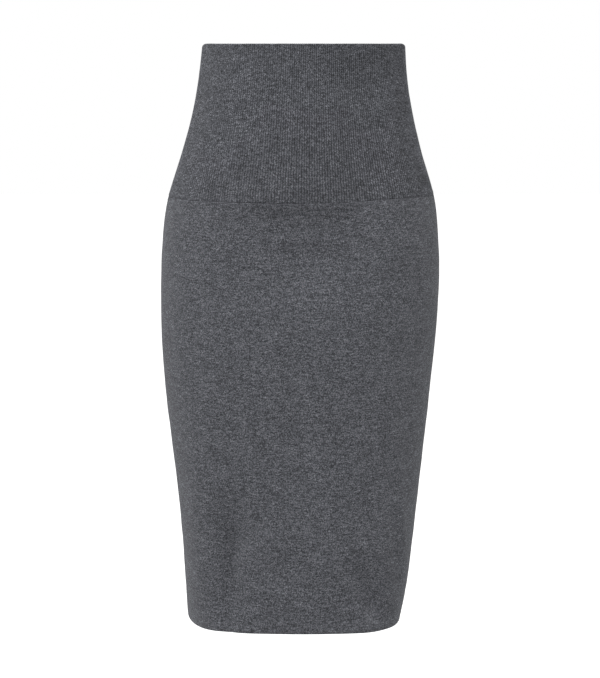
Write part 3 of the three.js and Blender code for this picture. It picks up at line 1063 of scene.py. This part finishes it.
@dataclass
class HemOverlock:
    """The thread that covers the cut edge of the turned-up hem and catches it to the skirt."""

    form: WornForm
    pitch: float = 2.7  # from one stitch to the next
    thread: float = 0.17  # radius of the thread

    def build(self, material: bpy.types.Material) -> bpy.types.Object:
        """Returns the thread, all round the inside of the hem."""
        hem_top = LENGTH - HEM_TURN
        loops, facings = [], []
        for side in Side:
            width = float(self.form.width(side, np.array([hem_top]))[0])
            count = int(width / self.pitch)
            middle = np.linspace(0.004, 0.996, count)[:, None]
            slant = self.pitch / width * np.array([0.45, 0.2, -0.1, -0.3, -0.45])[None, :]
            level = hem_top + np.array([3.6, 1.6, 0.2, -0.35, -0.9])[None, :]
            deep = [HEM_WALL, HEM_WALL + 0.05, HEM_WALL - 0.1, SKIRT_WALL + 0.5, SKIRT_WALL]
            inset = np.array(deep)[None, :] + 0.1
            share = np.clip(middle + slant, 0.001, 0.999)
            loop = self.form.cloth(side, share, level, -inset)
            loops.append(loop)
            facings.append(self.form.cloth(side, share, level, -inset - 1.0) - loop)
        paths, facing = np.concatenate(loops), np.concatenate(facings)
        return yarn_mesh("hem_overlock", paths, facing, self.thread, 5, material)


# Finishes

# Stitch sizes are a fine knit's real ones, in millimetres
MELANGE = MelangeYarn(shade="#101113", body="#2a2b2f", light="#434448", fleck="#5b5c61", halo="#b8bac0")

# Rib knit, 1 by 1: each rib is a wale of knit stitches, with a purl wale sunk between, and the eye sees
# fine upright cords, fainter over the left half, with painted shade between them that is paler there
RIB_KNIT = KnitFinish(
    "rib_knit_melange",
    MELANGE,
    wale=2.6,
    course=0.8,
    relief=0.22,
    hollow_shade=1.0,
    speckle=0.76,
    valley_shade=0.05,
    tones=2,
    paler_shade_reach=180.0,
)

# Plain knit of a fine gauge, lightly brushed: smooth from a step away, with V stitches close to; the hollows
# between them carry painted shade
JERSEY_KNIT = KnitFinish(
    "plain_knit_melange", MELANGE, wale=0.82, course=0.63, relief=0.14, hollow_shade=0.75, speckle=0.95
)

# The same yarn, painted paler in the linking stitches: a painted highlight along the lit row under the
# waistband seam
HIGHLIGHT_MELANGE = replace(MELANGE, body="#3e3f44", light="#5a5b60")
LINKING_YARN = KnitFinish(
    "linking_yarn_melange", HIGHLIGHT_MELANGE, wale=1.2, course=0.9, relief=0.08, hollow_shade=0.9, speckle=0.8
)

OVERLOCK_THREAD = ThreadFinish("polyester_thread_charcoal", colour="#2c2d31")


@dataclass(frozen=True)
class Softbox:
    """A square soft light that faces the middle of the skirt, placed by its direction from there."""

    name: str
    azimuth: float  # degrees to the viewer's right of the side that the camera is on
    elevation: float  # degrees up
    power: float  # in watts
    distance: float = 4500.0  # in mm
    size: float = 2000.0

    def build(self) -> None:
        """Adds the light."""
        data = bpy.data.lights.new(self.name, "AREA")
        data.energy, data.size = self.power, self.size * MM
        light = bpy.data.objects.new(self.name, data)
        azimuth, elevation = math.radians(self.azimuth), math.radians(self.elevation)
        away = self.distance * MM * math.cos(elevation)
        height = self.distance * MM * math.sin(elevation) - LENGTH * MM / 2
        light.location = (away * math.sin(azimuth), -away * math.cos(azimuth), height)
        light.rotation_euler = (math.pi / 2 - elevation, 0.0, azimuth)
        bpy.context.scene.collection.objects.link(light)


LIGHTS = (
    Softbox("key", -39.0, 50.0, 370.0),
    Softbox("front", -30.0, 8.0, 70.0),
    Softbox("overhead", 0.0, 80.0, 53.0),
    Softbox("fill", 65.0, 8.0, 100.0),
    Softbox("right_edge", 95.0, 35.0, 92.0),
    Softbox("left_edge", -108.0, 45.0, 32.0),
)


@dataclass
class Studio:
    """A plain floor, a white surround, soft lights and the camera."""

    SENSOR = 36.0  # in mm
    PHOTO_HEIGHT = 678.0  # in pixels

    distance: float = 2600.0  # camera to the plane of the side seams, in mm
    aside: float = -4.2  # camera's place across, in mm
    pitch: float = 7.30  # degrees that the camera looks down
    focal_px: float = 2307.0  # focal length in pixels of the photograph
    floor_drop: float = 430.0  # hem to floor, as on a standing wearer

    def build(self) -> None:
        """Sets up the camera, the floor, the world and the lights."""
        self._camera()
        self._floor()
        self._world()
        for softbox in LIGHTS:
            softbox.build()

    def _camera(self) -> None:
        """Adds the camera at the height of the waist edge."""
        data = bpy.data.cameras.new("camera")
        data.sensor_width = self.SENSOR
        data.lens = self.SENSOR * self.focal_px / self.PHOTO_HEIGHT
        data.clip_end = 100.0
        camera = bpy.data.objects.new("camera", data)
        camera.location = (self.aside * MM, -self.distance * MM, 0.0)
        camera.rotation_euler = (math.radians(90.0 - self.pitch), 0.0, 0.0)
        bpy.context.scene.collection.objects.link(camera)
        bpy.context.scene.camera = camera

    def _floor(self) -> None:
        """Adds the plain floor, whose glow keeps it white while it lights the cloth little from below."""
        mesh = bpy.data.meshes.new("studio_floor")
        reach, level = 14.0, -(LENGTH + self.floor_drop) * MM
        mesh.from_pydata(
            [(-reach, -reach, level), (reach, -reach, level), (reach, reach, level), (-reach, reach, level)],
            [],
            [(0, 1, 2, 3)],
        )
        floor = bpy.data.objects.new("studio_floor", mesh)
        bpy.context.scene.collection.objects.link(floor)
        material = bpy.data.materials.new("white_studio_paint")
        material.use_nodes = True
        shader = material.node_tree.nodes["Principled BSDF"]
        shader.inputs["Base Color"].default_value = linear("#767676")
        shader.inputs["Roughness"].default_value = 1.0
        shader.inputs["Emission Color"].default_value = (1.0, 1.0, 1.0, 1.0)
        shader.inputs["Emission Strength"].default_value = 0.9
        mesh.materials.append(material)

    def _world(self) -> None:
        """Sets a white surround, as in a white studio."""
        world = bpy.data.worlds.new("white_studio")
        world.use_nodes = True
        world.node_tree.nodes["Background"].inputs["Color"].default_value = (1.0, 1.0, 1.0, 1.0)
        world.node_tree.nodes["Background"].inputs["Strength"].default_value = 1.0
        scene = bpy.context.scene
        scene.world = world
        scene.view_settings.view_transform = "Standard"


@dataclass
class PencilSkirt:
    """The whole skirt: four cloth pieces, the stitches that join them and the cut edges inside."""

    form: WornForm

    def dress(self) -> None:
        rib, jersey = RIB_KNIT.build(), JERSEY_KNIT.build()
        linking, thread = LINKING_YARN.build(), OVERLOCK_THREAD.build()
        for side in Side:
            band = WaistbandPiece(self.form, side).build(f"rib_waistband_{side.value}", rib)
            self._tie(band, f"waistband_{side.value}")
            self._declare(side, 0.0, BAND_DEPTH)
            panel = SkirtPiece(self.form, side).build(f"knit_skirt_{side.value}", jersey)
            self._tie(panel, f"skirt_{side.value}")
            self._declare(side, BAND_DEPTH, LENGTH)
        self._tie(LinkingSeam(self.form).build(linking))
        for edge in InsideEdge:
            allowance, stitches = SeamAllowance(self.form, edge).build(jersey, thread)
            self._tie(allowance)
            self._tie(stitches)
        self._tie(HemOverlock(self.form).build(thread))

    def _tie(self, piece: bpy.types.Object, node: str | None = None) -> None:
        """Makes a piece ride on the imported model, and stand for a node if one is named."""
        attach(piece, "root")
        if node:
            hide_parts(node)
        LOG.info("built %s with %d faces", piece.name, len(piece.data.polygons))

    def _declare(
        self, side: Side, top: float, foot: float
    ) -> None:
        """Works out the cloth widths of a piece from top to foot, which nothing uses further."""
        widths = self.form.width(side, np.linspace(top, foot, 60))


def main() -> None:
    """Builds the studio and the skirt."""
    logging.basicConfig(level=logging.INFO, format="%(name)s: %(message)s")
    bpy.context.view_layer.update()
    Studio().build()
    LOG.info("built the studio")
    PencilSkirt(WornForm(SECTIONS)).dress()


if __name__ == "__main__":
    main()
